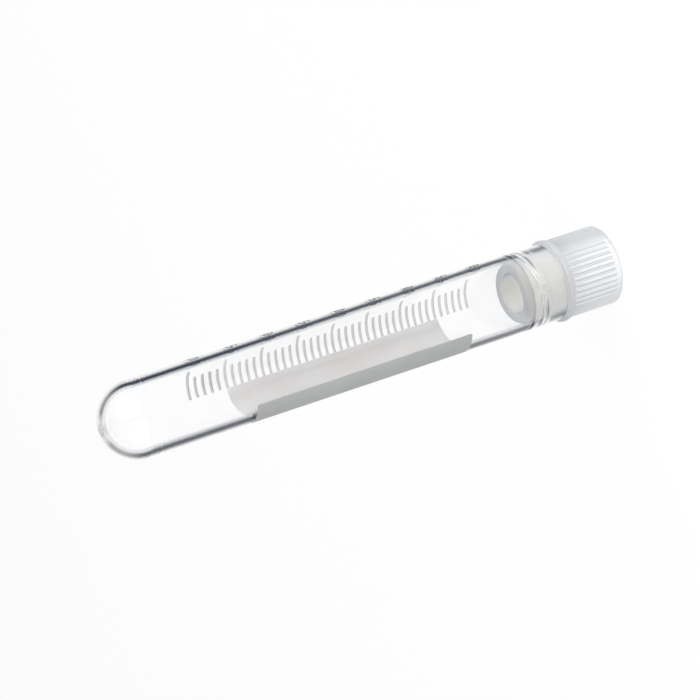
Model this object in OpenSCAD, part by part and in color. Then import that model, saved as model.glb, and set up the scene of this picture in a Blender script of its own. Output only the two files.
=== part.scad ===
// Cryovial of 5 ml, closed, standing on the head of its cap with its round tip up.
// A round-bottomed vial has a screw thread inside its mouth. The cap's hollow plug screws into it,
// and a soft ring seals between the cap's head and the vial's rim.
// The origin is the centre of the rim that it stands on, and +Z runs along the vial to its tip.
// Heights written "from the tip" are read as on a vial held upright, tip down.

/* [Vial] */
// Length from the tip to the rim of the mouth
vial_len = 79.9; // [60:0.1:110]
// Radius outside, along the straight stretch at the mouth
mouth_r = 6.3; // [5.8:0.05:8]
// Length of that straight stretch, which a rack or an adapter holds
mouth_band = 10; // [7.5:0.5:20]
// Radius outside the round end
tip_r = 6.08; // [5.5:0.02:7.5]
// Thickness of the round end
tip_wall = 1.2; // [0.8:0.05:1.6]
// Thickness of the wall just under the threaded socket
wall = 1.12; // [0.9:0.02:1.4]
// Thickness of the wall round the threaded socket
socket_wall = 0.75; // [0.6:0.05:0.85]
// Bevel on the edges of the mouth
mouth_bevel = 0.18; // [0.05:0.01:0.25]
// Distance of the mould's parting line from the tip
parting_at = 7.45; // [6.5:0.05:14]
// Width of the raised parting line
parting_w = 0.24; // [0.1:0.02:0.6]
// Height of the raised parting line
parting_h = 0.02; // [0.01:0.01:0.15]
// Radius of the flat mark that the mould's gate leaves on the tip
gate_r = 0.8; // [0.4:0.05:1.5]

/* [Screw thread] */
// Rise of the single right-hand thread in one turn
lead = 2.3; // [2:0.1:3]
// Turns of the thread inside the vial
vial_turns = 1.1; // [1:0.1:1.2]
// Turns of the thread on the plug
plug_turns = 1.2; // [1:0.1:1.5]
// Height of the thread inside the vial
vial_ridge = 0.35; // [0.3:0.01:0.4]
// Width of a ridge at its root
ridge_root_w = 0.95; // [0.8:0.05:1.1]
// Width of a ridge at its crest
ridge_crest_w = 0.45; // [0.3:0.05:0.6]
// Distance from the mouth's rim to the start of the vial's thread
vial_ridge_at = 2.9; // [2.4:0.05:3]
// Direction, seen from the tip, at which the vial's thread starts
vial_ridge_turn = 15; // [0:1:359]
// Gap between a crest and the wall that it faces
crest_gap = 0.13; // [0.08:0.01:0.2]

/* [Sealing ring] */
// Thickness of the ring between the cap's head and the rim
seal_t = 1.15; // [0.8:0.05:2]
// Radius outside the ring
seal_r = 6.76; // [6.6:0.02:8]
// Radius of the ring's rounded edges
seal_edge = 0.42; // [0.1:0.02:0.5]
// Gap between the ring and the plug's neck
seal_gap = 0.06; // [0.02:0.01:0.2]

/* [Cap head] */
// Height of the head
head_h = 8.95; // [7:0.05:12]
// Radius of the head
head_r = 6.47; // [6.35:0.01:8]
// Radius of the recess in the head, where a colour disc clips in
recess_r = 5; // [4:0.05:5.3]
// Thickness of the web between the recess and the ring
web = 1.95; // [1.2:0.05:3]
// Bevel on the head's edges
head_bevel = 0.25; // [0.1:0.05:0.5]

/* [Grip] */
// Number of groups of grip grooves
grip_groups = 3; // [2:1:4]
// Grooves in a group
grip_grooves = 10; // [4:1:10]
// Angle between two grooves of a group
grip_pitch = 8.8; // [8:0.1:9]
// Radius of the cutter that forms a groove
groove_r = 0.26; // [0.15:0.01:0.35]
// Depth of a groove
groove_depth = 0.2; // [0.1:0.01:0.3]
// Plain margin between the grooves and the face that it stands on
grip_margin = 0.75; // [0.5:0.05:2]
// Direction of the middle of the first group
grip_turn = 261.7; // [0:0.1:359]

/* [Cap plug] */
// Length of the plug past the rim
plug_len = 7.2; // [6.9:0.05:9]
// Height of the sealing lip at the plug's end
lip_h = 1.15; // [0.7:0.05:1.2]
// Gap between the lip and the bore that it closes
lip_gap = 0.08; // [0.05:0.01:0.15]
// Radius of the rounded edge of the lip
lip_round = 0.4; // [0.1:0.05:0.5]
// Gap between the plug's neck and the crest of the vial's thread
neck_gap = 0.25; // [0.15:0.01:0.35]
// Radius of the hollow in the plug
hollow_r = 3.3; // [2.9:0.05:3.6]
// Width of the smooth strips that interrupt the plug's thread
strip_w = 1; // [0.5:0.05:1.2]
// Depth of those strips in the neck
strip_depth = 0.1; // [0.05:0.01:0.2]

/* [Print] */
// Thickness of a printed layer
ink_t = 0.03; // [0.02:0.01:0.1]
// Width of a line of the scale
mark_w = 0.48; // [0.2:0.02:0.6]
// Distance of the lowest line from the tip
first_mark_at = 17.35; // [15:0.05:24]
// Volume between two lines, in microlitres
mark_step = 100; // [80:5:105]
// Steps of the scale between two long lines
steps_per_long = 5; // [2:1:10]
// Number of long lines
long_marks = 9; // [3:1:9]
// Angle that a short line covers
short_mark = 40.5; // [20:0.5:45]
// Angle that a long line covers
long_mark = 61; // [46:0.5:80]
// Direction of the edge from which the lines run
scale_turn = 88.5; // [0:0.5:359]
// Angle that the writing panel covers, on the other side of that edge
panel_angle = 143.8; // [60:0.2:180]
// Radius of the panel's corners
panel_corner = 0.35; // [0.3:0.05:2]
// How far the panel reaches past the long line that each end lies on
panel_margin = 0.3; // [0:0.02:0.6]

/* [Hidden] */
$fn = 96;
eps = 0.01;

// Heights of the faces that the pieces share
mouth_z = head_h + seal_t;
tip_z = mouth_z + vial_len;
tip_centre_z = tip_z - tip_r;
band_z = mouth_z + mouth_band;
plug_z = mouth_z + plug_len;
socket_z = plug_z - lip_h;
recess_z = head_h - web;
hollow_z = head_h;

// Radii that follow from the walls and the gaps
bore_tip_r = tip_r - tip_wall;
bore_r = mouth_r - wall;
socket_r = mouth_r - socket_wall;
vial_crest_r = socket_r - vial_ridge;
neck_r = vial_crest_r - neck_gap;
plug_crest_r = socket_r - crest_gap;
lip_r = bore_r - lip_gap;
seal_hole_r = neck_r + seal_gap;
slope = (mouth_r - tip_r) / (tip_centre_z - band_z);
bore_slope = (bore_r - bore_tip_r) / (tip_centre_z - socket_z);

// Raised forms: facets in one turn of a thread, how deep a root is sunk in its wall, and a run-out's angle
turn_steps = 40;
root_sink = 0.25;
run_out = 40;
plug_ridge_at = vial_ridge_at - lead / 2;

// Radius outside the vial at a height
function outside(z) = mouth_r - slope * max(0, z - band_z);

// Volume of a cone's stretch of length h that widens from radius r
function stretch(r, h) = PI * h * (r * r + r * bore_slope * h + pow(bore_slope * h, 2) / 3);

// Length of the bore that holds volume v, from a place where its radius is r
function length_for(v, r, h, tries) =
    tries == 0 ? h : length_for(v, r, h + (v - stretch(r, h)) / (PI * pow(r + bore_slope * h, 2)), tries - 1);

// Distance from the tip of line n of the scale
function mark_at(n) =
    first_mark_at + length_for(n * mark_step, bore_tip_r + bore_slope * (first_mark_at - tip_r), n, 6);

// Height of a place that is given as a distance from the tip
function height(from_tip) = tip_z - from_tip;

// How much of its full height a ridge has, at an angle along its course
function rise(angle, turns) = min(1, angle / run_out, (360 * turns - angle) / run_out);

// The section of a ridge at an angle along its course, from its root to its crest and back
function ridge_section(angle, root_r, wall_r, crest_r, h) =
    let (top_r = wall_r + (crest_r - wall_r) * h, z = lead * angle / 360)
    [for (p = [[root_r, -ridge_root_w], [top_r, -ridge_crest_w], [top_r, ridge_crest_w], [root_r, ridge_root_w]])
        [p[0] * cos(angle), p[0] * sin(angle), z + p[1] / 2]];

// A quarter disc on the axis, the section of a round end
module quarter_disc(r) {
    intersection() {
        circle(r);
        square(r);
    }
}

// A helical ridge that stands on a wall and runs out into it at both ends
module thread_ridge(wall_r, crest_r, turns) {
    side = sign(crest_r - wall_r);
    steps = ceil(turns * turn_steps);
    points = [for (i = [0:steps])
        let (angle = 360 * turns * i / steps)
        each ridge_section(angle, wall_r - side * root_sink, wall_r - side * eps, crest_r, rise(angle, turns))];
    last = 4 * steps;
    strips = [for (i = [0:steps - 1], k = [0:3])
        let (a = 4 * i + k, b = 4 * i + (k + 1) % 4)
        each [[a, b, b + 4], [a, b + 4, a + 4]]];
    ends = [[0, 2, 1], [0, 3, 2], [last, last + 1, last + 2], [last, last + 2, last + 3]];
    faces = [for (f = concat(strips, ends)) side > 0 ? f : [f[2], f[1], f[0]]];
    polyhedron(points, faces);
}

// Section of the vial's outside, with the gate's flat mark on the tip
module vial_outline() {
    translate([0, tip_centre_z]) quarter_disc(tip_r);
    translate([0, tip_z - tip_wall / 2]) square([gate_r, tip_wall / 2]);
    polygon([
        [0, mouth_z],
        [mouth_r - mouth_bevel, mouth_z],
        [mouth_r, mouth_z + mouth_bevel],
        [mouth_r, band_z],
        [tip_r, tip_centre_z],
        [0, tip_centre_z]
    ]);
}

// Section of the vial's bore, with the wider socket and the bevel of its mouth
module bore_outline() {
    translate([0, tip_centre_z]) quarter_disc(bore_tip_r);
    polygon([
        [0, mouth_z - eps],
        [socket_r + mouth_bevel, mouth_z - eps],
        [socket_r + mouth_bevel, mouth_z],
        [socket_r, mouth_z + mouth_bevel],
        [socket_r, socket_z],
        [bore_r, socket_z + socket_r - bore_r],
        [bore_tip_r, tip_centre_z],
        [0, tip_centre_z]
    ]);
}

// The line that the mould's joint leaves round the vial
module parting_line() {
    z = height(parting_at);
    r = outside(z);
    rotate_extrude() polygon([
        [r - root_sink, z - parting_w / 2],
        [r, z - parting_w / 2],
        [r + parting_h, z - parting_w / 6],
        [r + parting_h, z + parting_w / 6],
        [r - eps, z + parting_w / 2],
        [r - root_sink, z + parting_w / 2]
    ]);
}

module vial() {
    color([0.86, 0.9, 0.93, 0.45]) {
        rotate_extrude() difference() {
            vial_outline();
            bore_outline();
        }
        parting_line();
        translate([0, 0, mouth_z + vial_ridge_at])
            rotate([0, 0, vial_ridge_turn])
                thread_ridge(socket_r, vial_crest_r, vial_turns);
    }
}

// A printed layer on the vial between two heights
module ink(low, high, angle) {
    rotate_extrude(angle = angle) polygon([
        [outside(low), low],
        [outside(low) + ink_t, low],
        [outside(high) + ink_t, high],
        [outside(high), high]
    ]);
}

// What rounding takes off a corner of the panel, on the side that z_side and turn_side give
module corner_cut(z, angle, z_side, turn_side) {
    reach = panel_corner + ink_t;
    rotate([0, 0, angle])
        translate([0, 0, z])
            difference() {
                translate([tip_r / 2, turn_side > 0 ? 0 : -reach, z_side > 0 ? 0 : -reach])
                    cube([mouth_r, reach, reach]);
                rotate([0, 90, 0]) cylinder(r = panel_corner, h = 3 * mouth_r);
            }
}

// The matt field for notes, with rounded corners
module writing_panel() {
    low = height(mark_at((long_marks - 2) * steps_per_long) + panel_margin);
    high = height(mark_at(steps_per_long) - panel_margin);
    corner = asin(panel_corner / outside((low + high) / 2));
    color([0.55, 0.57, 0.56]) rotate([0, 0, scale_turn]) difference() {
        ink(low, high, panel_angle);
        corner_cut(low + panel_corner, corner, -1, -1);
        corner_cut(low + panel_corner, panel_angle - corner, -1, 1);
        corner_cut(high - panel_corner, corner, 1, -1);
        corner_cut(high - panel_corner, panel_angle - corner, 1, 1);
    }
}

// The lines of the scale, spaced so that the bore holds the same volume between any two
module scale_marks() {
    color([0.5, 0.52, 0.53])
        for (n = [0:(long_marks - 1) * steps_per_long]) {
            z = height(mark_at(n));
            angle = n % steps_per_long == 0 ? long_mark : short_mark;
            rotate([0, 0, scale_turn - angle]) ink(z - mark_w / 2, z + mark_w / 2, angle);
        }
}

module sealing_ring() {
    color([0.93, 0.93, 0.9]) rotate_extrude() {
        translate([seal_hole_r, head_h]) square([seal_r - seal_edge - seal_hole_r, seal_t]);
        translate([seal_hole_r, head_h + seal_edge]) square([seal_r - seal_hole_r, seal_t - 2 * seal_edge]);
        for (z = [head_h + seal_edge, mouth_z - seal_edge])
            translate([seal_r - seal_edge, z]) circle(seal_edge);
    }
}

// Section of the head, open at its foot in the recess
module head_outline() {
    polygon([
        [recess_r + head_bevel, 0],
        [head_r - head_bevel, 0],
        [head_r, head_bevel],
        [head_r, head_h],
        [0, head_h],
        [0, recess_z],
        [recess_r, recess_z],
        [recess_r, head_bevel]
    ]);
}

// Section of the hollow plug, with its neck and its rounded sealing lip
module plug_outline() {
    translate([hollow_r, hollow_z - eps]) square([neck_r - hollow_r, plug_z - hollow_z - lip_round + eps]);
    translate([hollow_r, socket_z]) square([lip_r - hollow_r, lip_h - lip_round]);
    translate([hollow_r + mouth_bevel, plug_z - lip_round - eps])
        square([lip_r - lip_round - hollow_r - mouth_bevel, lip_round + eps]);
    translate([lip_r - lip_round, plug_z - lip_round]) circle(lip_round);
}

// The grooves of the grip, which run out through the head's shoulder
module grip() {
    for (g = [0:grip_groups - 1], i = [0:grip_grooves - 1])
        rotate([0, 0, grip_turn + g * 360 / grip_groups + (i - (grip_grooves - 1) / 2) * grip_pitch])
            translate([head_r + groove_r - groove_depth, 0, grip_margin])
                cylinder(r = groove_r, h = head_h, $fn = 24);
}

// The smooth strips that the mould's halves leave on opposite sides of the plug
module smooth_strips() {
    for (side = [0, 180])
        rotate([0, 0, grip_turn + side])
            translate([neck_r - strip_depth, -strip_w / 2, mouth_z - seal_t / 2])
                cube([mouth_r, strip_w, socket_z - mouth_z]);
}

module screw_cap() {
    color([0.95, 0.94, 0.9, 0.8]) {
        difference() {
            rotate_extrude() head_outline();
            grip();
        }
        difference() {
            union() {
                rotate_extrude() plug_outline();
                translate([0, 0, mouth_z + plug_ridge_at])
                    rotate([0, 0, vial_ridge_turn])
                        thread_ridge(neck_r, plug_crest_r, plug_turns);
            }
            smooth_strips();
        }
    }
}

vial();
writing_panel();
scale_marks();
sealing_ring();
screw_cap();
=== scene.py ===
"""Cryovial standing on its cap: a clear vial with its print, a sealing ring, a knurled cap and a stage."""

import math

import bmesh
import bpy
from bpy.props import FloatProperty, FloatVectorProperty, IntProperty, PointerProperty
from mathutils import Matrix, Vector


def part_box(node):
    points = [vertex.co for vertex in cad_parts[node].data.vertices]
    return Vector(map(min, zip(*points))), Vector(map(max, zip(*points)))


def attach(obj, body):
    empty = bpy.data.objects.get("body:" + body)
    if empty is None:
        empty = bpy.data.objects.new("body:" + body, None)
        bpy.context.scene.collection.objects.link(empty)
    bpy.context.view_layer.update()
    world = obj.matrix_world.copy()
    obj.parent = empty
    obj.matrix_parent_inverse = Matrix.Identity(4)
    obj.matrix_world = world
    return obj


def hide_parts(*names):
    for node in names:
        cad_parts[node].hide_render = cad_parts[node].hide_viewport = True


bl_info = {
    "name": "Cryovial",
    "version": (1, 0, 0),
    "blender": (4, 5, 0),
    "location": "View3D > Sidebar > Cryovial",
    "description": "Makes a capped cryovial with its print, its finishes and a studio stage",
    "category": "Add Mesh",
}

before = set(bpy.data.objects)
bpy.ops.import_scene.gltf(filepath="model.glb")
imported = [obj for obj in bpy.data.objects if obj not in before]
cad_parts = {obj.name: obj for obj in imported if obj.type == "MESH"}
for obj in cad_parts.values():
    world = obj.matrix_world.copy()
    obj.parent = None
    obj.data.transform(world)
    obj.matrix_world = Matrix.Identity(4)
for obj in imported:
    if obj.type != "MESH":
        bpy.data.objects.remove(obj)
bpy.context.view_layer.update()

MM = 0.001
VIAL_LOW, VIAL_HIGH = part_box("vial")
SEAL_LOW, SEAL_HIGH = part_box("sealing_ring")
CAP_LOW, CAP_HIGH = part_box("screw_cap")

# Heights that the pieces share
MOUTH_Z = VIAL_LOW.z
TIP_Z = VIAL_HIGH.z
HEAD_Z = SEAL_LOW.z
PLUG_Z = CAP_HIGH.z

# The studio, in metres
FLOOR_SIDE = 6.0
KEY_PLACE = (0.42, -0.34, 0.3)
KEY_SIZE = 0.9
FILL_PLACE = (-0.5, -0.5, 0.25)
FILL_SIZE = 1.1
NEAREST = 0.01
FARTHEST = 20.0

# The camera's sensor, in millimetres
SENSOR_WIDTH = 36


def length(name, about, default):
    """A size in metres, given here in millimetres."""
    return FloatProperty(name=name, description=about, default=default * MM, unit="LENGTH", precision=5)


def turn(name, about, default):
    """An angle, given here in degrees."""
    return FloatProperty(name=name, description=about, default=math.radians(default), subtype="ANGLE")


def colour(name, about, default):
    """A colour with red, green and blue from 0 to 1."""
    return FloatVectorProperty(
        name=name, description=about, default=default, size=3, subtype="COLOR", min=0, max=1
    )


class VialSizes(bpy.types.PropertyGroup):
    """Sizes of the vial and of the thread in its mouth."""

    mouth_r: length("Mouth radius", "Radius outside, at the mouth", VIAL_HIGH.x / MM)
    tip_r: length("Tip radius", "Radius outside the round end", 6.08)
    band: length("Straight band", "Length of the straight stretch at the mouth", 10)
    tip_wall: length("Tip wall", "Thickness of the round end", 1.2)
    wall: length("Wall", "Thickness of the wall under the socket", 1.12)
    socket_wall: length("Socket wall", "Thickness of the wall round the threaded socket", 0.75)
    mouth_round: length("Mouth rounding", "Radius of the edges of the mouth", 0.18)
    parting_at: length("Parting line", "Distance of the mould's parting line from the tip", 7.45)
    parting_w: length("Parting line width", "Width of the raised parting line", 0.24)
    parting_h: length("Parting line height", "Height of the raised parting line", 0.012)
    gate_r: length("Gate radius", "Radius of the flat mark that the mould's gate leaves on the tip", 0.8)
    lead: length("Lead", "Rise of the thread in one turn", 2.3)
    turns: FloatProperty(name="Turns", description="Turns of the thread in the mouth", default=1.1)
    ridge_at: length("Thread start", "Distance from the rim to the start of the thread", 2.9)
    ridge_turn: turn("Thread direction", "Direction at which the thread starts", 15)
    ridge: length("Thread height", "Height of the thread in the mouth", 0.35)
    root_w: length("Root width", "Width of a ridge at its root", 0.95)
    crest_w: length("Crest width", "Width of a ridge at its crest", 0.45)


class CapSizes(bpy.types.PropertyGroup):
    """Sizes of the screw cap, its plug and the sealing ring."""

    head_r: length("Head radius", "Radius of the cap's head", CAP_HIGH.x / MM)
    recess_r: length("Recess radius", "Radius of the recess in the head", 5)
    web: length("Web", "Thickness of the web between the recess and the ring", 1.95)
    edge: length("Edge rounding", "Radius of the head's edges", 0.25)
    grooves: IntProperty(name="Grooves", description="Grip grooves in a group", default=10)
    groups: IntProperty(name="Groups", description="Groups of grip grooves", default=3)
    pitch: turn("Groove pitch", "Angle between two grooves", 8.8)
    grip_turn: turn("Grip direction", "Direction of the middle of the first group", 261.7)
    groove_r: length("Groove radius", "Radius of the cutter that forms a groove", 0.26)
    groove_depth: length("Groove depth", "Depth of a groove", 0.2)
    margin: length("Grip margin", "Plain margin at the head's rim", 0.75)
    neck_r: length("Neck radius", "Radius of the plug's neck", 4.95)
    lip_r: length("Lip radius", "Radius of the sealing lip", 5.1)
    lip_h: length("Lip height", "Height of the sealing lip", 1.15)
    lip_round: length("Lip rounding", "Radius of the lip's edge", 0.4)
    hollow_r: length("Hollow radius", "Radius of the hollow in the plug", 3.3)
    ridge: length("Thread height", "Height of the thread on the plug", 0.47)
    turns: FloatProperty(name="Turns", description="Turns of the thread on the plug", default=1.2)
    strip_w: length("Strip width", "Width of the smooth strips through the thread", 1)
    strip_depth: length("Strip depth", "Depth of the smooth strips", 0.1)
    seal_r: length("Ring radius", "Radius outside the sealing ring", SEAL_HIGH.x / MM)
    seal_hole_r: length("Ring hole", "Radius of the sealing ring's hole", 5.01)
    seal_edge: length("Ring rounding", "Radius of the sealing ring's edges", 0.42)


class PrintSizes(bpy.types.PropertyGroup):
    """Sizes of the writing panel, the scale and its numerals."""

    ink: length("Ink", "Thickness of a printed layer", 0.024)
    clear: length("Clearance", "Gap that keeps a printed layer off the plastic", 0.005)
    mark_w: length("Line width", "Width of a line of the scale", 0.48)
    first_at: length("First line", "Distance of the lowest line from the tip", 17.35)
    step: FloatProperty(name="Step", description="Volume between two lines, in microlitres", default=100)
    per_long: IntProperty(name="Steps per long line", description="Steps between two long lines", default=5)
    longs: IntProperty(name="Long lines", description="Number of long lines", default=9)
    short: turn("Short line", "Angle that a short line covers", 40.5)
    long: turn("Long line", "Angle that a long line covers", 61)
    scale_turn: turn("Scale edge", "Direction of the edge from which the lines run", 88.5)
    panel: turn("Panel", "Angle that the writing panel covers", 143.8)
    corner: length("Panel corner", "Radius of the panel's corners", 0.35)
    margin: length("Panel margin", "Distance of the panel's ends past the lines beside them", 0.3)
    digit_h: length("Digit height", "Height of a numeral", 1.75)
    digit_turn: turn("Numeral direction", "Direction at which a numeral starts", 10)


class Finishes(bpy.types.PropertyGroup):
    """Colours of the plastics and inks, and of the painted shade on them."""

    clear: colour("Clear plastic", "Tint of the vial's plastic", (0.985, 0.987, 0.992))
    # Painted shade: dark mixed into the clear wall where it is seen edge-on
    shade: colour("Wall shade", "Colour that the wall takes where it is seen edge-on", (0.03, 0.038, 0.055))
    # Painted shade: the panel's ink is darkened to grey for the shade on the panel's outer face
    panel_ink_and_shade: colour("Panel", "Colour of the writing panel", (0.43, 0.445, 0.435))
    panel_in: colour("Panel from inside", "Colour of the panel's underside", (0.99, 0.915, 0.87))
    marks: colour("Scale", "Colour of the scale's lines", (0.72, 0.705, 0.7))
    digits: colour("Numerals", "Colour of the numerals", (0.13, 0.14, 0.16))
    cap: colour("Cap plastic", "Colour of the cap's plastic", (0.985, 0.99, 0.997))
    # Painted shade: dark mixed into the milky pieces where they are seen edge-on
    cap_shade: colour("Cap shade", "Colour that the cap takes where it is seen edge-on", (0.3, 0.33, 0.37))
    # Painted shade: the plug is the cap's own plastic, darkened here for the shade on it inside the vial
    plug: colour("Plug plastic", "Colour of the plug's end", (0.66, 0.65, 0.625))
    neck: colour("Neck plastic", "Colour of the plug's neck", (0.97, 0.95, 0.91))
    seal: colour("Sealing ring", "Colour of the sealing ring", (0.775, 0.785, 0.795))
    floor: colour("Floor", "Colour of the floor", (1, 1, 1))


class StageSettings(bpy.types.PropertyGroup):
    """Camera and lamps."""

    distance: length("Camera distance", "Distance of the camera from the vial's middle", 510)
    elevation: turn("Camera elevation", "Height of the camera over the horizon", 24.3)
    roll: turn("Camera roll", "Roll that lays the vial across the picture", 108.4)
    lens: FloatProperty(name="Lens", description="Focal length in millimetres", default=168.5)
    aim_x: length("Aim across", "Place across the vial that the camera looks at", -0.288)
    aim_z: length("Aim height", "Height on the vial that the camera looks at", 46.87)
    key: FloatProperty(name="Key lamp", description="Power of the key lamp in watts", default=4.8)
    fill: FloatProperty(name="Fill lamp", description="Power of the fill lamp in watts", default=2.4)
    ambient: FloatProperty(name="Ambient", description="Strength of the light from all round", default=0.55)


# ---------------------------------------------------------------- shader maths


class Wire:
    """An output socket. Arithmetic on it adds the Math nodes that do it."""

    def __init__(self, tree, socket):
        self.tree = tree
        self.socket = socket

    def maths(self, operation, *others):
        """A Math node with this wire as its first value."""
        return worked_out(self.tree, operation, self, *others)

    def __add__(self, other):
        return self.maths("ADD", other)

    def __sub__(self, other):
        return self.maths("SUBTRACT", other)

    def __rsub__(self, other):
        return worked_out(self.tree, "SUBTRACT", other, self)

    def __mul__(self, other):
        return self.maths("MULTIPLY", other)

    def __truediv__(self, other):
        return self.maths("DIVIDE", other)

    def __rtruediv__(self, other):
        return worked_out(self.tree, "DIVIDE", other, self)

    __radd__ = __add__
    __rmul__ = __mul__

    def most(self, other):
        """The larger of two values."""
        return self.maths("MAXIMUM", other)


def worked_out(tree, operation, *values):
    """Adds a Math node. Its values are wires or numbers."""
    node = tree.nodes.new("ShaderNodeMath")
    node.operation = operation
    for slot, value in zip(node.inputs, values):
        plug_in(tree, slot, value)
    return Wire(tree, node.outputs[0])


def plug_in(tree, slot, value):
    """Links a wire to a socket, or sets the socket to a plain value."""
    if isinstance(value, Wire):
        tree.links.new(value.socket, slot)
    elif hasattr(slot.default_value, "__len__") and len(slot.default_value) == 4 and len(value) == 3:
        slot.default_value = (*value, 1)
    else:
        slot.default_value = value


class Recipe:
    """A node tree under construction."""

    def __init__(self, tree):
        self.tree = tree
        tree.nodes.clear()

    def node(self, kind, settings=None, inputs=None, output=0):
        """Adds a node with its settings and inputs, and returns one of its outputs."""
        node = self.tree.nodes.new(kind)
        for name, value in (settings or {}).items():
            if name == "stops":
                self.set_stops(node.color_ramp, value)
            else:
                setattr(node, name, value)
        for name, value in (inputs or {}).items():
            slot = node.inputs[name] if isinstance(name, int) else self.find(node.inputs, name)
            plug_in(self.tree, slot, value)
        if isinstance(output, tuple):
            return [Wire(self.tree, self.find(node.outputs, name)) for name in output]
        found = node.outputs[output] if isinstance(output, int) else self.find(node.outputs, output)
        return Wire(self.tree, found)

    @staticmethod
    def find(sockets, name):
        """A socket by its identifier, or else by its name."""
        return next((s for s in sockets if s.identifier == name), None) or sockets[name]

    @staticmethod
    def set_stops(ramp, stops):
        """Gives a colour ramp its grey stops."""
        while len(ramp.elements) > 1:
            ramp.elements.remove(ramp.elements[-1])
        for n, (place, value) in enumerate(stops):
            stop = ramp.elements[0] if n == 0 else ramp.elements.new(place)
            stop.position = place
            stop.color = (value, value, value, 1)

    def noise(self, scale, detail):
        """Noise from 0 to 1. A scale of 1000 gives features of about a millimetre."""
        where = self.node("ShaderNodeTexCoord", output="Object")
        inputs = {"Vector": where, "Scale": scale, "Detail": detail}
        return self.node("ShaderNodeTexNoise", None, inputs, "Fac")

    def blend(self, factor, first, second):
        """A colour between two colours."""
        values = {"Factor_Float": factor, "A_Color": first, "B_Color": second}
        return self.node("ShaderNodeMix", {"data_type": "RGBA"}, values, "Result_Color")

    def bump(self, height, distance, strength):
        """A normal that follows a height. A height of 1 stands for a distance in metres."""
        inputs = {"Height": height, "Distance": distance, "Strength": strength}
        return self.node("ShaderNodeBump", None, inputs)

    def matt(self, tint):
        """A surface that scatters light back."""
        return self.node("ShaderNodeBsdfDiffuse", None, {"Color": tint})

    def glow(self, tint):
        """A surface that scatters the light from behind it."""
        return self.node("ShaderNodeBsdfTranslucent", None, {"Color": tint})

    def mix(self, factor, first, second):
        """A shader between two shaders."""
        return self.node("ShaderNodeMixShader", None, {0: factor, 1: first, 2: second})

    def ramp(self, value, *stops):
        """A value that follows a ramp of (place, value) stops."""
        return self.node("ShaderNodeValToRGB", {"stops": stops}, {"Fac": value})

    def ease(self, value, start, end):
        """A smooth step from 0 at start to 1 at end."""
        values = {"Value": value, "From Min": start, "From Max": end}
        return self.node("ShaderNodeMapRange", {"interpolation_type": "SMOOTHSTEP"}, values)

    def place(self):
        """Coordinates on the piece, in metres."""
        where = self.node("ShaderNodeTexCoord", output="Object")
        return self.node("ShaderNodeSeparateXYZ", None, {"Vector": where}, ("X", "Y", "Z"))

    def facing(self):
        """0 where the surface faces the eye, and 1 where it is seen edge-on."""
        return self.node("ShaderNodeLayerWeight", None, {"Blend": 0.5}, "Facing")

    def let_shadows_pass(self, surface, tint):
        """The same surface, except that light for what lies behind it passes with a tint."""
        shadow = self.node("ShaderNodeLightPath", output="Is Shadow Ray")
        through = self.node("ShaderNodeBsdfTransparent", None, {"Color": tint})
        return self.mix(shadow, surface, through)

    def in_view(self, direct):
        """direct for what the camera sees itself, and 1 for what it sees mirrored or through plastic."""
        seen = self.node("ShaderNodeLightPath", output="Is Camera Ray")
        gloss = self.node("ShaderNodeLightPath", output="Is Glossy Ray")
        through = self.node("ShaderNodeLightPath", output="Is Transmission Ray")
        return (direct * seen).most(gloss).most(through)

    def finish(self, surface, kind="ShaderNodeOutputMaterial"):
        """Adds the output node."""
        end = self.tree.nodes.new(kind)
        self.tree.links.new(surface.socket, end.inputs["Surface"])


def new_recipe(name):
    """A material with an empty node tree, and the recipe that fills it."""
    material = bpy.data.materials.new(name)
    material.use_nodes = True
    return material, Recipe(material.node_tree)


def toned(value, by):
    """A colour made darker or lighter by a factor."""
    return tuple(min(1.0, c * by) for c in value)


# ---------------------------------------------------------------- finishes

# Stops (place, darkness) of the painted shade lines that show where a surface turns from the eye. A place is
# 0 where the surface faces the eye, and 1 where it is seen edge-on.
WALL_PAINTED_SHADE = (
    (0.0, 0.0), (0.36, 0.0), (0.4, 0.08), (0.44, 0.28), (0.48, 0.75), (0.515, 1.0),
    (0.585, 1.0), (0.64, 0.7), (0.7, 0.28), (0.78, 0.06), (1.0, 0.0),
)
THREAD_PAINTED_SHADE = ((0.0, 0.0), (0.18, 0.0), (0.32, 0.6), (0.48, 0.6), (0.56, 0.0), (1.0, 0.0))
BORE_PAINTED_SHADE = ((0.0, 0.0), (0.7, 0.0), (1.0, 0.5))
HEAD_PAINTED_SHADE = ((0.0, 0.0), (0.1, 0.02), (0.18, 0.1), (0.27, 0.28), (0.43, 0.46), (0.6, 0.43), (1.0, 0.4))
GROOVE_PAINTED_SHADE = ((0.0, 0.0), (0.05, 0.04), (0.12, 0.17), (0.2, 0.34), (0.3, 0.52), (1.0, 0.56))
PLUG_PAINTED_SHADE = ((0.0, 0.0), (0.25, 0.05), (0.5, 0.25), (0.7, 0.8), (1.0, 0.9))
NECK_PAINTED_SHADE = ((0.0, 0.0), (0.1, 0.04), (0.22, 0.16), (0.35, 0.22), (0.5, 0.25), (0.7, 0.28), (1.0, 0.3))
RING_PAINTED_SHADE = ((0.0, 0.0), (0.3, 0.04), (0.6, 0.12), (1.0, 0.15))

# The middle of the wall's painted shade line, how far the line moves, and how much it narrows on the lower
# side, which is painted lighter
WALL_SHADE_PEAK = 0.53
MOUTH_SHIFT = 0.075
LOW_SHIFT = 0.025
LOW_NARROWING = 0.25

# How much of its painted shade an edge line loses; on the lower side of the wall and of the head this paints
# that side lighter
MOUTH_FADE = 0.12
LOW_FADE = 0.12
DOME_FADE = 0.3
TIP_FADE = 0.5
CAP_FADE = 0.3
THREAD_FADE = 0.85
HEAD_LOW_FADE = 0.35

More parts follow.
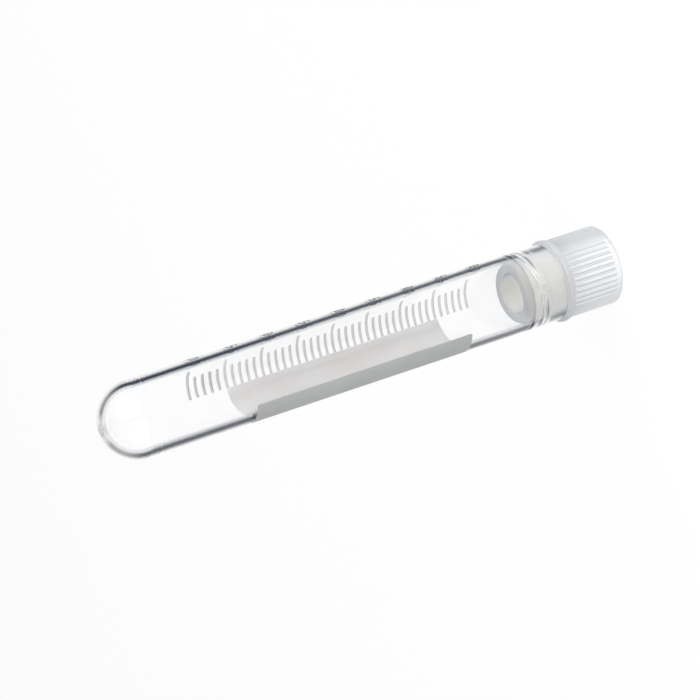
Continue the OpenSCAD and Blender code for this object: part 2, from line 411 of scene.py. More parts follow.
# The part of the light that a line of the scale stops below a height, where it looks paler, and above it
PALER_LINE_ALPHA = 0.4
FULL_LINE_ALPHA = 0.9

# The share of its own tone that the ink keeps where its painted shade is darkest
SHADED_INK_TONE = 0.75
INK_ROUGHNESS = 0.6
BLACK = (0.0, 0.0, 0.0)

PLASTIC_IOR = 1.49
GLOSS = 0.01
MILKY = (0.8, 0.8, 0.8)
MILKY_ROUGHNESS = 0.35
GATE_FROST = 0.85
# Painted light: the rounded rim is made milky and lit, over the shaded gap between the vial and the ring
RIM_PAINTED_LIGHT = 0.95

# How far a colour varies, up and down
CLOUDING = 0.03
INK_UNEVENNESS = 0.12

# The head's share of the cap's shade
HEAD_SHADE = 0.67

# How far the floor under the vial is plain white for the camera: the rest of it shows the shadow
SEEN_WHITE = 0.85

# Scales of the noises, and the depth of the finest bumps
FLOW_SCALE = 220
CLOUD_SCALE = 350
GRAIN_SCALE = 5200
INK_CLOUD_SCALE = 110
SCREEN_SCALE = 9000
FINE_DEPTH = 0.01 * MM

# Tints of the light that passes a piece and falls on what lies behind it
CLEAR_SHADOW = (0.95, 0.955, 0.96)
MILKY_SHADOW = (0.85, 0.85, 0.85)


def from_axis(x, y):
    """Distance from the vial's axis."""
    return (x * x + y * y).maths("SQRT")


def see_through(r, tint, roughness, normal=None):
    """Plastic that bends the light passing through it."""
    inputs = {"Base Color": tint, "Roughness": roughness, "IOR": PLASTIC_IOR, "Transmission Weight": 1.0}
    if normal is not None:
        inputs["Normal"] = normal
    return r.node("ShaderNodeBsdfPrincipled", None, inputs)


def thread_line(r, vial, reach):
    """1 along the thread in the mouth, where its ridge and the cap's ridge lie against each other.
    It falls to 0 at a distance of reach times the lead."""
    blur = 0.14
    overlap = 0.06 * vial.lead
    x, y, z = r.place()
    angle = y.maths("ARCTAN2", x)
    first = MOUTH_Z + vial.ridge_at - overlap
    last = first + vial.turns * vial.lead
    rise = z - first - vial.lead / (2 * math.pi) * (angle - vial.ridge_turn)
    off = (rise / vial.lead).maths("PINGPONG", 0.5)
    on_line = 1 - r.ease(off, reach - blur, reach)
    begun = r.ease(z, first - 0.1 * vial.lead, first + 0.4 * vial.lead)
    ended = r.ease(z, last + 0.1 * vial.lead, last + 0.4 * vial.lead)
    return on_line * begun * (1 - ended)


def painted_wall_shade(r, vial):
    """Painted shade on the clear wall where it turns from the eye. It is fainter on the round end, beside the
    cap and on the lower side, which is thus painted lighter."""
    x, _, z = r.place()
    toward_tip = r.ease(z, MOUTH_Z, TIP_Z - vial.tip_r)
    # On the lower side the painted shade line moves, narrows and fades, so that side is painted lighter
    low_side = 1 - r.ease(x, -1 * MM, 1 * MM)
    off_peak = r.facing() - MOUTH_SHIFT * (1 - toward_tip) - LOW_SHIFT * low_side - WALL_SHADE_PEAK
    line = r.ramp(WALL_SHADE_PEAK + off_peak * (1 - LOW_NARROWING * low_side), *WALL_PAINTED_SHADE)
    dome = r.ease(z, TIP_Z - 0.8 * vial.tip_r, TIP_Z - 0.3 * vial.tip_r)
    tip = r.ease(z, TIP_Z - 0.11 * vial.tip_r, TIP_Z - 0.03 * vial.tip_r)
    by_cap = 1 - r.ease(z, PLUG_Z - 0.8 * MM, PLUG_Z + 0.5 * MM)
    line = line * (1 - MOUTH_FADE * (1 - toward_tip)) * (1 - LOW_FADE * low_side)
    return line * (1 - DOME_FADE * dome) * (1 - TIP_FADE * tip) * (1 - CAP_FADE * by_cap)


def gate_mark(r, vial):
    """1 on the milky mark that the mould's gate leaves in the middle of the tip."""
    x, y, z = r.place()
    inside = 1 - r.ease(from_axis(x, y), 1.1 * vial.gate_r, 1.6 * vial.gate_r)
    return inside * r.ease(z, TIP_Z - 2 * MM, TIP_Z - 1 * MM)


def clear_plastic(looks, vial):
    """Clear, glossy plastic: it bends light, and has painted shade where the wall is seen edge-on and along
    the thread.
    """
    material, r = new_recipe("clear_plastic")
    _, _, z = r.place()
    past_rim = r.ease(z, MOUTH_Z + 0.15 * MM, MOUTH_Z + 0.45 * MM)
    gate = gate_mark(r, vial)
    flow = r.bump(r.noise(FLOW_SCALE, 1.0), FINE_DEPTH, 0.2)
    clear = see_through(r, tuple(looks.clear), GLOSS, flow)
    # Painted shade: a dark matt surface mixed in where the wall is seen edge-on
    painted_dark = r.matt(tuple(looks.shade))
    frost = r.mix(0.5, r.glow(MILKY), r.matt(MILKY))
    line = painted_wall_shade(r, vial) * past_rim * (1 - gate) * (1 - THREAD_FADE * thread_line(r, vial, reach=0.42))
    # Painted shade in strokes along the thread, where the thread turns from the eye
    thread_shade_stroke = r.ramp(r.facing(), *THREAD_PAINTED_SHADE) * thread_line(r, vial, reach=0.16)
    lit = r.mix(line.most(thread_shade_stroke), clear, painted_dark)
    # The gate mark is milky; the rim is made milky too, as painted light over the shaded gap at the ring
    matt = (GATE_FROST * gate).most(RIM_PAINTED_LIGHT * (1 - past_rim))
    r.finish(r.let_shadows_pass(r.mix(matt, lit, frost), CLEAR_SHADOW))
    return material


def bore_plastic(looks):
    """The same plastic on the inside of the vial, with fainter painted shade, so that the wall isn't shaded
    twice.
    """
    material, r = new_recipe("bore_plastic")
    _, _, z = r.place()
    socket = 1 - r.ease(z, PLUG_Z - 1.5 * MM, PLUG_Z - 0.8 * MM)
    past_rim = r.ease(z, MOUTH_Z + 0.2 * MM, MOUTH_Z + 0.8 * MM)
    # Painted shade at the bore's edges, a little more in the socket
    line = past_rim * r.ramp(r.facing() + 0.15 * socket, *BORE_PAINTED_SHADE)
    clear = see_through(r, tuple(looks.clear), GLOSS)
    painted_dark = r.matt(tuple(looks.shade))
    r.finish(r.let_shadows_pass(r.mix(line, clear, painted_dark), CLEAR_SHADOW))
    return material


def grip_lines(r, cap):
    """1 in the grip grooves of the cap's head."""
    x, y, z = r.place()
    radius = from_axis(x, y)
    past_core = r.ease(radius, cap.head_r - 1.6 * cap.groove_depth, cap.head_r - 1.2 * cap.groove_depth)
    past_floor = r.ease(radius, cap.head_r - 0.6 * cap.groove_depth, cap.head_r - 0.1 * cap.groove_depth)
    past_margin = r.ease(z, cap.margin, cap.margin + 0.3 * MM)
    past_top = r.ease(z, HEAD_Z - 0.3 * MM, HEAD_Z - 0.1 * MM)
    return past_core * (1 - past_floor) * past_margin * (1 - past_top)


def frosted_plastic(name, tint, shade, scatter, rough, edge, grooved_cap=None):
    """Milky plastic: part of the light goes through, and a share of it, scatter, is scattered. edge holds the
    stops of the painted shade, in the colour shade, that darkens it where it turns from the eye."""
    material, r = new_recipe(name)
    tint = tuple(tint)
    cloud = r.noise(CLOUD_SCALE, 3.0)
    base = r.blend(cloud, toned(tint, 1 - CLOUDING), toned(tint, 1 + CLOUDING))
    grain = r.bump(r.noise(GRAIN_SCALE, 2.0), FINE_DEPTH, 0.3)
    clear = see_through(r, base, rough + 0.04 * cloud, grain)
    inputs = {"Base Color": base, "Roughness": MILKY_ROUGHNESS, "Normal": grain}
    solid = r.node("ShaderNodeBsdfPrincipled", None, inputs)
    # Painted shade: a dark matt surface mixed in where the plastic turns from the eye
    painted_dark = r.matt(shade)
    facing = r.facing()
    line = r.ramp(facing, *edge)
    if grooved_cap:
        # On the head the painted shade is fainter on the lower side, painting that side lighter, and the
        # grooves get painted shade
        x, _, _ = r.place()
        low_side = 1 - r.ease(x, -2 * MM, 2 * MM)
        grips = grip_lines(r, grooved_cap)
        scatter = scatter + (1 - scatter) * grips
        line = line * (1 - HEAD_LOW_FADE * low_side)
        line = line.most(r.ramp(facing, *GROOVE_PAINTED_SHADE) * grips)
    lit = r.mix(scatter, clear, r.mix(0.5, solid, r.glow(tint)))
    r.finish(r.let_shadows_pass(r.mix(line, lit, painted_dark), MILKY_SHADOW))
    return material


def ink(name, tint, glow_share, paler_below=None, painted_shade_across=None):
    """Matt screen-printing ink, a little uneven and a little translucent.

    Below a height it lets more light through, and looks paler. Across a stretch of X, painted shade fades
    out."""
    material, r = new_recipe(name)
    x, _, z = r.place()
    cloud = r.noise(INK_CLOUD_SCALE, 2.0)
    base = r.blend(cloud, toned(tint, 1 - INK_UNEVENNESS), toned(tint, 1 + INK_UNEVENNESS))
    # Painted shade across X: darkest at the low end of the stretch
    if painted_shade_across:
        base = r.blend(SHADED_INK_TONE + (1 - SHADED_INK_TONE) * r.ease(x, *painted_shade_across), BLACK, base)
    screen = r.bump(r.noise(SCREEN_SCALE, 2.0), FINE_DEPTH / 2, 0.4)
    inputs = {"Base Color": base, "Roughness": INK_ROUGHNESS + 0.1 * cloud, "Normal": screen}
    # Below the height the line lets more light through and looks paler
    if paler_below:
        full = r.ease(z, paler_below, paler_below + 2 * MM)
        inputs["Alpha"] = PALER_LINE_ALPHA + (FULL_LINE_ALPHA - PALER_LINE_ALPHA) * full
    solid = r.node("ShaderNodeBsdfPrincipled", None, inputs)
    r.finish(r.mix(glow_share, solid, r.glow(tuple(tint))))
    return material


def pale_floor(looks):
    """A white floor that keeps the shadow of what stands on it."""
    material, r = new_recipe("pale_floor")
    white = r.node("ShaderNodeEmission", None, {"Color": tuple(looks.floor), "Strength": 1.0})
    r.finish(r.mix(r.in_view(SEEN_WHITE), r.matt(tuple(looks.floor)), white))
    return material


# ---------------------------------------------------------------- forms

# A point with a smaller radius lies on the axis
ON_AXIS = 1e-7

# Steps round a piece, across a printed layer and along the arcs of the round end
VIAL_STEPS = 192
RING_STEPS = 160
CAP_STEPS = 144
PANEL_STEPS = 72
LONG_STEPS = 36
SHORT_STEPS = 24
TIP_STEPS = 28
BORE_STEPS = 24


def arc(centre, radius, start, end, steps):
    """Points along an arc, in degrees."""
    angles = [math.radians(start + (end - start) * n / steps) for n in range(steps + 1)]
    return [(centre[0] + radius * math.cos(a), centre[1] + radius * math.sin(a)) for a in angles]


def rounded(corner, before, after, radius):
    """The corner of a section, rounded with a radius."""
    steps = 4
    c, b, a = Vector(corner), Vector(before), Vector(after)
    to_b, to_a = (b - c).normalized(), (a - c).normalized()
    half = to_b.angle(to_a) / 2
    reach = min(radius / math.tan(half), 0.49 * (b - c).length, 0.49 * (a - c).length)
    middle = c + (to_b + to_a).normalized() * (reach / math.cos(half))
    start, end = c + to_b * reach, c + to_a * reach
    radius = (start - middle).length
    first, sweep = start - middle, (start - middle).angle(end - middle)
    side = 1 if first.x * (end - middle).y - first.y * (end - middle).x > 0 else -1
    spins = [Matrix.Rotation(side * sweep * n / steps, 2) @ first for n in range(steps + 1)]
    return [tuple(middle + s) for s in spins]


def section(corners):
    """Rows (radius, height, zone) of a turned form. A corner is (radius, height), with its rounding,
    the zone that starts at it and the spacing of the rows in that zone as further entries."""
    rows = []
    for n, (r, z, *more) in enumerate(corners):
        rounding, zone, spacing = (*more, None, None, None)[:3]
        before, after = corners[n - 1][:2], corners[(n + 1) % len(corners)][:2]
        points = rounded((r, z), before, after, rounding) if rounding else [(r, z)]
        last_zone = rows[-1][2] if rows else None
        rows += [(*p, last_zone if k < len(points) - 1 else zone) for k, p in enumerate(points)]
        if spacing:
            start, end = Vector(points[-1]), Vector(after)
            steps = int((end - start).length / spacing)
            rows += [(*start.lerp(end, k / steps), zone) for k in range(1, steps)]
    return rows


def turned(name, rows, angles, shape=None, ring=False):
    """A mesh turned round the axis from rows of (radius, height, zone). shape(angle, radius, height, zone)
    gives the radius that a point really has. A ring's last row joins its first."""
    points, faces, starts = [], [], []
    count = len(angles)
    for r, z, zone in rows:
        starts.append(len(points))
        if r < ON_AXIS:
            points.append((0, 0, z))
            continue
        for a in angles:
            real = shape(a, r, z, zone) if shape and zone else r
            points.append((real * math.cos(a), real * math.sin(a), z))
    pairs = list(zip(range(len(rows) - 1), range(1, len(rows))))
    pairs += [(len(rows) - 1, 0)] if ring else []
    for i, j in pairs:
        poles = rows[i][0] < ON_AXIS, rows[j][0] < ON_AXIS
        for k in range(count):
            n = (k + 1) % count
            first = [starts[i]] if poles[0] else [starts[i] + k, starts[i] + n]
            second = [starts[j]] if poles[1] else [starts[j] + n, starts[j] + k]
            faces.append((*first, *second))
    return made(name, points, faces)


def made(name, points, faces):
    """An object from points and faces, smooth, with its faces turned outwards."""
    mesh = bpy.data.meshes.new(name)
    mesh.from_pydata(points, [], faces)
    form = bmesh.new()
    form.from_mesh(mesh)
    if form.calc_volume(signed=True) < 0:
        bmesh.ops.reverse_faces(form, faces=form.faces)
    form.to_mesh(mesh)
    form.free()
    mesh.shade_smooth()
    piece = bpy.data.objects.new(name, mesh)
    bpy.context.scene.collection.objects.link(piece)
    return piece


def dress(piece, body, slot, materials, *nodes):
    """Gives a piece its materials, the body that it rides on and the nodes that it stands for."""
    for material in materials:
        piece.data.materials.append(material)
    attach(piece, body)
    if nodes:
        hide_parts(*nodes)


def smooth_step(x):
    """0 up to 0, 1 from 1, and smooth between them."""
    x = min(1.0, max(0.0, x))
    return x * x * (3 - 2 * x)


def ridge_height(angle, z, start_z, start_turn, turns, vial):
    """How much of a thread's height stands at a place, from 0 to 1."""
    most = 0.0
    run_out = math.radians(40)
    flank = (vial.root_w - vial.crest_w) / 2
    end = 2 * math.pi * turns
    along = (angle - start_turn) % (2 * math.pi)
    while along <= end:
        away = abs(z - start_z - vial.lead * along / (2 * math.pi))
        across = smooth_step((vial.root_w / 2 - away) / flank)
        most = max(most, across * min(1.0, along / run_out, (end - along) / run_out))
        along += 2 * math.pi
    return most


def outside(vial, z):
    """Radius outside the vial at a height."""
    centre = TIP_Z - vial.tip_r
    band_z = MOUTH_Z + vial.band
    share = (z - band_z) / (centre - band_z)
    return vial.mouth_r + (vial.tip_r - vial.mouth_r) * min(1.0, max(0.0, share))


def bore_at(vial, z):
    """Radius of the bore at a height past the socket."""
    centre = TIP_Z - vial.tip_r
    socket_z = PLUG_Z - bpy.context.scene.cryovial_cap.lip_h
    top, bottom = vial.mouth_r - vial.wall, vial.tip_r - vial.tip_wall
    return top + (bottom - top) * (z - socket_z) / (centre - socket_z)


def even_angles(count):
    """Angles all round the axis, evenly spaced."""
    return [2 * math.pi * n / count for n in range(count)]


def mark_places(vial, marks):
    """Distance of each line of the scale from the tip: the bore holds the same volume between any two."""
    places = [marks.first_at]
    step = marks.step * MM**3
    for _ in range((marks.longs - 1) * marks.per_long):
        h = 0.0
        r = bore_at(vial, TIP_Z - places[-1])
        # Six steps of Newton's method settle the height
        for _ in range(6):
            far = bore_at(vial, TIP_Z - places[-1] - h)
            held = math.pi * h * (r * r + r * far + far * far) / 3
            h += (step - held) / (math.pi * far * far)
        places.append(places[-1] + h)
    return places


def skin(vial, marks, rows, columns, limits):
    """A closed printed layer on the vial. rows are heights, and limits(z) gives its first and last angle."""
    points, faces = [], []
    for lift in (marks.clear, marks.clear + marks.ink):
        for z in rows:
            first, last = limits(z)
            r = outside(vial, z) + lift
            for k in range(columns + 1):
                a = first + (last - first) * k / columns
                points.append((r * math.cos(a), r * math.sin(a), z))
    wide = columns + 1
    layer = wide * len(rows)
    for i in range(len(rows) - 1):
        for k in range(columns):
            a = i * wide + k
            quad = (a, a + 1, a + 1 + wide, a + wide)
            faces += [quad[::-1], tuple(p + layer for p in quad)]
    rim = list(range(columns))
    rim += [i * wide + columns for i in range(len(rows) - 1)]
    rim += [(len(rows) - 1) * wide + columns - k for k in range(columns)]
    rim += [(len(rows) - 1 - i) * wide for i in range(len(rows) - 1)]
    for n, a in enumerate(rim):
        b = rim[(n + 1) % len(rim)]
        faces.append((a, b, b + layer, a + layer))
    return points, faces


def joined(parts):
    """Points and faces of several forms as one."""
    points, faces = [], []
    for more_points, more_faces in parts:
        start = len(points)
        points += more_points
        faces += [tuple(p + start for p in face) for face in more_faces]
    return points, faces


# ---------------------------------------------------------------- pieces


class MakeVial(bpy.types.Operator):
    """Turns the clear vial with its round end, its threaded mouth and its parting line"""

    bl_idname = "cryovial.make_vial"
    bl_label = "Vial"

    def execute(self, context):
        vial = context.scene.cryovial_vial
        cap = context.scene.cryovial_cap
        looks = context.scene.cryovial_looks
        centre = TIP_Z - vial.tip_r
        socket_z = PLUG_Z - cap.lip_h
        socket_r = vial.mouth_r - vial.socket_wall
        bore_r = vial.mouth_r - vial.wall
        inner_r = vial.tip_r - vial.tip_wall
        line_z = TIP_Z - vial.parting_at
        half = vial.parting_w / 2
        line_r = outside(vial, line_z)
        gate_turn = math.degrees(math.acos(vial.gate_r / vial.tip_r))
        rows = [(0, TIP_Z, None), (vial.gate_r * 0.8, TIP_Z, None)]
        rows.append((vial.gate_r * 0.95, TIP_Z - 0.01 * MM, None))
        rows += [(r, z, None) for r, z in arc((0, centre), vial.tip_r, gate_turn, 0, TIP_STEPS)]
        rows += section([
            (outside(vial, line_z + 2 * half), line_z + 2 * half),
            (outside(vial, line_z + half), line_z + half),
            (line_r + vial.parting_h, line_z + half / 3),
            (line_r + vial.parting_h, line_z - half / 3),
            (outside(vial, line_z - half), line_z - half),
            (outside(vial, line_z - 2 * half), line_z - 2 * half, None, None, 3 * MM),
            (vial.mouth_r, MOUTH_Z + vial.band),
            (vial.mouth_r, MOUTH_Z, vial.mouth_round),
            (socket_r, MOUTH_Z, vial.mouth_round, "socket", 0.08 * MM),
            (socket_r, socket_z, 0.1 * MM),
            (bore_r, socket_z + socket_r - bore_r, 0.1 * MM, None, 3 * MM),
            (inner_r, centre),
        ])
        rows += [(max(r, 0), z, None) for r, z in arc((0, centre), inner_r, 0, 90, BORE_STEPS)[1:]]

        def shape(angle, r, z, zone):
            height = ridge_height(angle, z, MOUTH_Z + vial.ridge_at, vial.ridge_turn, vial.turns, vial)
            return r - vial.ridge * height

        piece = turned("clear_vial", rows, even_angles(VIAL_STEPS), shape)
        dress(piece, "vial", "clear_plastic", [clear_plastic(looks, vial), bore_plastic(looks)], "vial")
        for face in piece.data.polygons:
            x, y, z = face.center
            in_dome = z > centre and math.hypot(x, y, z - centre) < vial.tip_r - vial.tip_wall / 2
            in_bore = z <= centre and math.hypot(x, y) < outside(vial, z) - 0.5 * MM
            face.material_index = int(in_dome or in_bore)
        return {"FINISHED"}


class MakePrint(bpy.types.Operator):
    """Prints the writing panel, the scale and its numerals on the vial"""

    bl_idname = "cryovial.make_print"
    bl_label = "Print"

    def execute(self, context):
        vial = context.scene.cryovial_vial
        marks = context.scene.cryovial_marks
        looks = context.scene.cryovial_looks
        places = mark_places(vial, marks)
        self.panel(vial, marks, looks, places)
        self.lines(vial, marks, looks, places)
        self.numerals(vial, marks, looks, places)
        return {"FINISHED"}

    def panel(self, vial, marks, looks, places):
        """The writing panel, beside the long lines from the second to the last but one."""
        low = TIP_Z - places[(marks.longs - 2) * marks.per_long] - marks.margin
        high = TIP_Z - places[marks.per_long] + marks.margin
        corner = marks.corner
        bends, spans = 6, 24
        ends = [corner * (1 - math.cos(math.pi / 2 * n / bends)) for n in range(bends + 1)]
        middle = [low + corner + (high - low - 2 * corner) * n / spans for n in range(1, spans)]
        rows = [low + e for e in ends] + middle + [high - e for e in reversed(ends)]

        def limits(z):
            into = max(0.0, corner - min(z - low, high - z))
            inset = corner - math.sqrt(max(0.0, corner**2 - into**2))
            back = inset / outside(vial, z)
            return marks.scale_turn + back, marks.scale_turn + marks.panel - back

        piece = made("panel", *skin(vial, marks, rows, PANEL_STEPS, limits))
        # The panel's topside ink is darkened to grey: painted shade on its outer face
        topside = ink("panel_ink", looks.panel_ink_and_shade, glow_share=0.15)
        # Painted shade on the panel's underside, darkest toward -X
        shaded_stretch = (-2.2 * MM, -0.2 * MM)
        underside = ink("panel_underside", looks.panel_in, glow_share=0.1, painted_shade_across=shaded_stretch)
        dress(piece, "vial", "panel_ink", [topside, underside], "writing_panel")
        for face in piece.data.polygons:
            x, y, _ = face.center
            face.material_index = int(face.normal.x * x + face.normal.y * y < 0)

    def lines(self, vial, marks, looks, places):
        """All lines of the scale, as one piece."""
        parts = []
        for n, place in enumerate(places):
            z = TIP_Z - place
            angle, columns = (marks.short, SHORT_STEPS) if n % marks.per_long else (marks.long, LONG_STEPS)
            rows = [z - marks.mark_w / 2, z + marks.mark_w / 2]

            def limits(_, angle=angle):
                return marks.scale_turn - angle, marks.scale_turn

            parts.append(skin(vial, marks, rows, columns, limits))
        piece = made("scale_lines", *joined(parts))
        # Below this height the lines let more light through and look paler
        paler_below = TIP_Z - places[marks.per_long] + 0.5 * marks.mark_w
        scale_ink = ink("scale_ink", looks.marks, glow_share=0.2, paler_below=paler_below)
        dress(piece, "vial", "scale_ink", [scale_ink], "scale_marks")

    def numerals(self, vial, marks, looks, places):
        """A numeral at each long line, from 1.0 in steps of 0.5, as one piece."""
        parts = []
        for n in range(marks.longs):
            value = f"{1 + n / 2:.1f}"
            z = TIP_Z - places[n * marks.per_long]
            parts.append(self.numeral(value, z, vial, marks))
        piece = made("numerals", *joined(parts))
        dress(piece, "vial", "scale_ink", [ink("numeral_ink", looks.digits, glow_share=0.2)])

    def numeral(self, value, z, vial, marks):
        """One number, bent round the vial: it reads towards falling angles, with its foot towards the tip."""
        text = bpy.data.curves.new("numeral", "FONT")
        text.body = value
        holder = bpy.data.objects.new("numeral", text)
        bpy.context.scene.collection.objects.link(holder)
        flat = bpy.data.meshes.new_from_object(holder.evaluated_get(bpy.context.evaluated_depsgraph_get()))
        bpy.data.objects.remove(holder)
        form = bmesh.new()
        form.from_mesh(flat)
        bmesh.ops.remove_doubles(form, verts=form.verts, dist=1e-5)
        tall = max(v.co.y for v in form.verts)
        size = marks.digit_h / tall
        wide = max(v.co.x for v in form.verts)
        strips = 12
        for k in range(1, strips):
            cut = form.verts[:] + form.edges[:] + form.faces[:]
            bmesh.ops.bisect_plane(form, geom=cut, plane_co=(wide * k / strips, 0, 0), plane_no=(1, 0, 0))
        top = bmesh.ops.extrude_face_region(form, geom=form.faces[:])
        lifted = {v for v in top["geom"] if isinstance(v, bmesh.types.BMVert)}
        points = []
        form.verts.index_update()
        for v in form.verts:
            height = z - (v.co.y - tall / 2) * size
            r = outside(vial, height) + marks.clear + (marks.ink if v in lifted else 0)
            a = marks.digit_turn - v.co.x * size / r
            points.append((r * math.cos(a), r * math.sin(a), height))
        faces = [tuple(v.index for v in face.verts) for face in form.faces]
        form.free()
        return points, faces


class MakeRing(bpy.types.Operator):
    """Turns the soft sealing ring between the vial and the cap"""

    bl_idname = "cryovial.make_ring"
    bl_label = "Sealing ring"

    def execute(self, context):
        cap = context.scene.cryovial_cap
        looks = context.scene.cryovial_looks
        rows = section([
            (cap.seal_hole_r, SEAL_LOW.z, 0.06 * MM),
            (cap.seal_r, SEAL_LOW.z, cap.seal_edge),
            (cap.seal_r, SEAL_HIGH.z, cap.seal_edge),
            (cap.seal_hole_r, SEAL_HIGH.z, 0.06 * MM),
        ])
        piece = turned("soft_ring", rows, even_angles(RING_STEPS), ring=True)
        # Painted shade at the ring's edges
        shade = tuple(looks.cap_shade)
        silicone = frosted_plastic("soft_seal", looks.seal, shade, scatter=0.55, rough=0.3, edge=RING_PAINTED_SHADE)
        dress(piece, "seal", "soft_seal", [silicone], "sealing_ring")
        return {"FINISHED"}


class MakeCap(bpy.types.Operator):
    """Turns the knurled cap with its recess and its hollow, threaded plug"""

    bl_idname = "cryovial.make_cap"
    bl_label = "Screw cap"

    def execute(self, context):
        vial = context.scene.cryovial_vial
        cap = context.scene.cryovial_cap
        looks = context.scene.cryovial_looks
        socket_z = PLUG_Z - cap.lip_h
        rows = section([
            (0, HEAD_Z - cap.web),
            (cap.recess_r, HEAD_Z - cap.web, 0.25 * MM),
            (cap.recess_r, CAP_LOW.z, cap.edge),
            (cap.head_r, CAP_LOW.z, cap.edge),
            (cap.head_r, cap.margin, None, "grip", 0.1 * MM),
            (cap.head_r, cap.margin + 0.5 * MM, None, "grip", 1.5 * MM),
            (cap.head_r, HEAD_Z, 0.08 * MM),
            (cap.neck_r, HEAD_Z, 0.05 * MM),
            (cap.neck_r, MOUTH_Z - 0.3 * MM, None, "neck", 0.08 * MM),
            (cap.neck_r, socket_z, 0.05 * MM),
            (cap.lip_r, socket_z, 0.08 * MM),
            (cap.lip_r, PLUG_Z, cap.lip_round),
            (cap.hollow_r, PLUG_Z, 0.18 * MM),
            (cap.hollow_r, HEAD_Z, 0.25 * MM),
            (0, HEAD_Z),
        ])
        centres = [
            cap.grip_turn + g * 2 * math.pi / cap.groups + (n - (cap.grooves - 1) / 2) * cap.pitch
            for g in range(cap.groups)
            for n in range(cap.grooves)
        ]
        widest = cap.groove_r / cap.head_r
        angles = self.stations(centres, widest, cap)
        near = {a: min(abs((a - c + math.pi) % (2 * math.pi) - math.pi) for c in centres) for a in angles}

        def shape(angle, r, z, zone):
            return self.neck(angle, r, z, vial, cap) if zone == "neck" else self.grip(r, z, cap, near[angle])

        piece = turned("knurled_cap", rows, angles, shape)
        # Painted shade at the edges of the cap's pieces, darker on the head
        shade = tuple(looks.cap_shade)
        head = frosted_plastic(
            "cap_plastic", looks.cap, toned(shade, HEAD_SHADE),
            scatter=0.65, rough=0.28, edge=HEAD_PAINTED_SHADE, grooved_cap=cap,
        )
        # The plug's tint is darkened: painted shade on it inside the vial
        plug = frosted_plastic("plug_plastic", looks.plug, shade, scatter=0.4, rough=0.16, edge=PLUG_PAINTED_SHADE)
        neck = frosted_plastic("neck_plastic", looks.neck, shade, scatter=0.6, rough=0.12, edge=NECK_PAINTED_SHADE)
        dress(piece, "cap", "cap_plastic", [head, plug, neck], "screw_cap")
        for face in piece.data.polygons:
            x, y, z = face.center
            on_head = z < HEAD_Z + 0.01 * MM
            on_neck = z < socket_z and math.hypot(x, y) > cap.hollow_r + 0.3 * MM
            face.material_index = 0 if on_head else 2 if on_neck else 1
        return {"FINISHED"}

    @staticmethod
    def grip(r, z, cap, off):
        """Radius of the head at an angle off from the middle of the nearest groove."""
        cutter = cap.head_r + cap.groove_r - cap.groove_depth
        across = cutter * math.sin(off)
        if abs(across) >= cap.groove_r or off > 1:
            return r
        cut = cutter * math.cos(off) - math.sqrt(cap.groove_r**2 - across**2)
        depth = smooth_step((z - cap.margin) / (0.3 * MM))
        return r - max(0.0, cap.head_r - cut) * depth

    @staticmethod
    def neck(angle, r, z, vial, cap):
        """Radius of the plug's neck, with its thread and the smooth strips through it."""
        half = cap.strip_w / 2 / cap.neck_r
        off = (angle - cap.grip_turn + math.pi / 2) % math.pi - math.pi / 2
        if abs(off) < half and z > MOUTH_Z - 0.2 * MM:
            return (r - cap.strip_depth) / math.cos(off)
        start = MOUTH_Z + vial.ridge_at - vial.lead / 2
        return r + cap.ridge * ridge_height(angle, z, start, vial.ridge_turn, cap.turns, vial)

    @staticmethod
    def stations(centres, widest, cap):
        """Angles at which the cap has points: close together at the grooves and the strips' edges."""
        nudges = (-0.012, -0.002, 0.002, 0.012)
        closest = 0.003
        found = {round(a, 5) for a in even_angles(CAP_STEPS)}
        for c in centres:
            found |= {round((c + widest * k / 4) % (2 * math.pi), 5) for k in range(-5, 6)}
        half = cap.strip_w / 2 / cap.neck_r
        for side in (0, math.pi):
            for edge in (-half, half):
                for nudge in nudges:
                    found.add(round((cap.grip_turn + side + edge + nudge) % (2 * math.pi), 5))
        kept = []
        for a in sorted(found):
            if not kept or a - kept[-1] > closest:
                kept.append(a)
        return kept


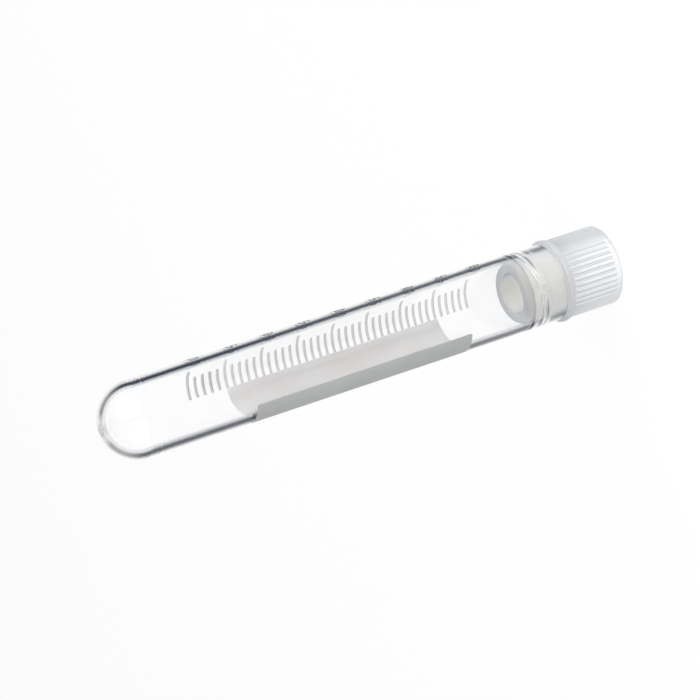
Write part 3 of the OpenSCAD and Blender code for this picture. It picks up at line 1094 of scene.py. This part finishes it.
class MakeStage(bpy.types.Operator):
    """Sets up the floor, the world, the lamps and the camera"""

    bl_idname = "cryovial.make_stage"
    bl_label = "Stage"

    def execute(self, context):
        stage = context.scene.cryovial_stage
        looks = context.scene.cryovial_looks
        self.floor(looks)
        self.world(context.scene, stage)
        self.lamp("key", KEY_PLACE, KEY_SIZE, stage.key)
        self.lamp("fill", FILL_PLACE, FILL_SIZE, stage.fill)
        self.camera(context.scene, stage)
        context.scene.view_settings.view_transform = "Standard"
        return {"FINISHED"}

    @staticmethod
    def floor(looks):
        """A square floor at height 0."""
        half = FLOOR_SIDE / 2
        corners = [(-half, -half, 0), (half, -half, 0), (half, half, 0), (-half, half, 0)]
        mesh = bpy.data.meshes.new("floor")
        mesh.from_pydata(corners, [], [(0, 1, 2, 3)])
        floor = bpy.data.objects.new("floor", mesh)
        bpy.context.scene.collection.objects.link(floor)
        mesh.materials.append(pale_floor(looks))

    @staticmethod
    def world(scene, stage):
        """Plain white for the camera, and soft light from all round."""
        scene.world = bpy.data.worlds.new("studio")
        scene.world.use_nodes = True
        r = Recipe(scene.world.node_tree)
        white = r.node("ShaderNodeBackground", None, {"Color": (1, 1, 1), "Strength": 1.0})
        soft = r.node("ShaderNodeBackground", None, {"Color": (1, 1, 1), "Strength": stage.ambient})
        r.finish(r.mix(r.in_view(1), soft, white), "ShaderNodeOutputWorld")

    @staticmethod
    def lamp(name, place, size, power):
        """A round lamp that shines on the vial's middle."""
        data = bpy.data.lights.new(name, "AREA")
        data.shape = "DISK"
        data.size = size
        data.energy = power
        lamp = bpy.data.objects.new(name, data)
        lamp.location = place
        lamp.rotation_euler = (Vector((0, 0, TIP_Z / 2)) - Vector(place)).to_track_quat("-Z", "Y").to_euler()
        bpy.context.scene.collection.objects.link(lamp)

    @staticmethod
    def camera(scene, stage):
        """A camera in front of the vial, rolled so that the vial lies across the picture."""
        data = bpy.data.cameras.new("camera")
        data.lens = stage.lens
        data.sensor_width = SENSOR_WIDTH
        data.clip_start = NEAREST
        data.clip_end = FARTHEST
        camera = bpy.data.objects.new("camera", data)
        away = Vector((0, -math.cos(stage.elevation), math.sin(stage.elevation)))
        place = Vector((0, 0, TIP_Z / 2)) + away * stage.distance
        aim = Vector((stage.aim_x, 0, stage.aim_z))
        level = (aim - place).to_track_quat("-Z", "Y").to_matrix()
        rolled = level @ Matrix.Rotation(-stage.roll, 3, "Z")
        camera.matrix_world = Matrix.Translation(place) @ rolled.to_4x4()
        scene.collection.objects.link(camera)
        scene.camera = camera


class CryovialPanel(bpy.types.Panel):
    """Lists the pieces of the cryovial"""

    bl_idname = "VIEW3D_PT_cryovial"
    bl_label = "Cryovial"
    bl_space_type = "VIEW_3D"
    bl_region_type = "UI"
    bl_category = "Cryovial"

    def draw(self, context):
        for maker in MAKERS:
            self.layout.operator(maker.bl_idname)


GROUPS = {
    "cryovial_vial": VialSizes,
    "cryovial_cap": CapSizes,
    "cryovial_marks": PrintSizes,
    "cryovial_looks": Finishes,
    "cryovial_stage": StageSettings,
}
MAKERS = (MakeVial, MakePrint, MakeRing, MakeCap, MakeStage)


def register():
    for group in (*GROUPS.values(), *MAKERS, CryovialPanel):
        bpy.utils.register_class(group)
    for name, group in GROUPS.items():
        setattr(bpy.types.Scene, name, PointerProperty(type=group))


def unregister():
    for name in GROUPS:
        delattr(bpy.types.Scene, name)
    for group in reversed((*GROUPS.values(), *MAKERS, CryovialPanel)):
        bpy.utils.unregister_class(group)


def main():
    register()
    bpy.ops.cryovial.make_stage()
    bpy.ops.cryovial.make_vial()
    bpy.ops.cryovial.make_print()
    bpy.ops.cryovial.make_ring()
    bpy.ops.cryovial.make_cap()


if __name__ == "__main__":
    main()
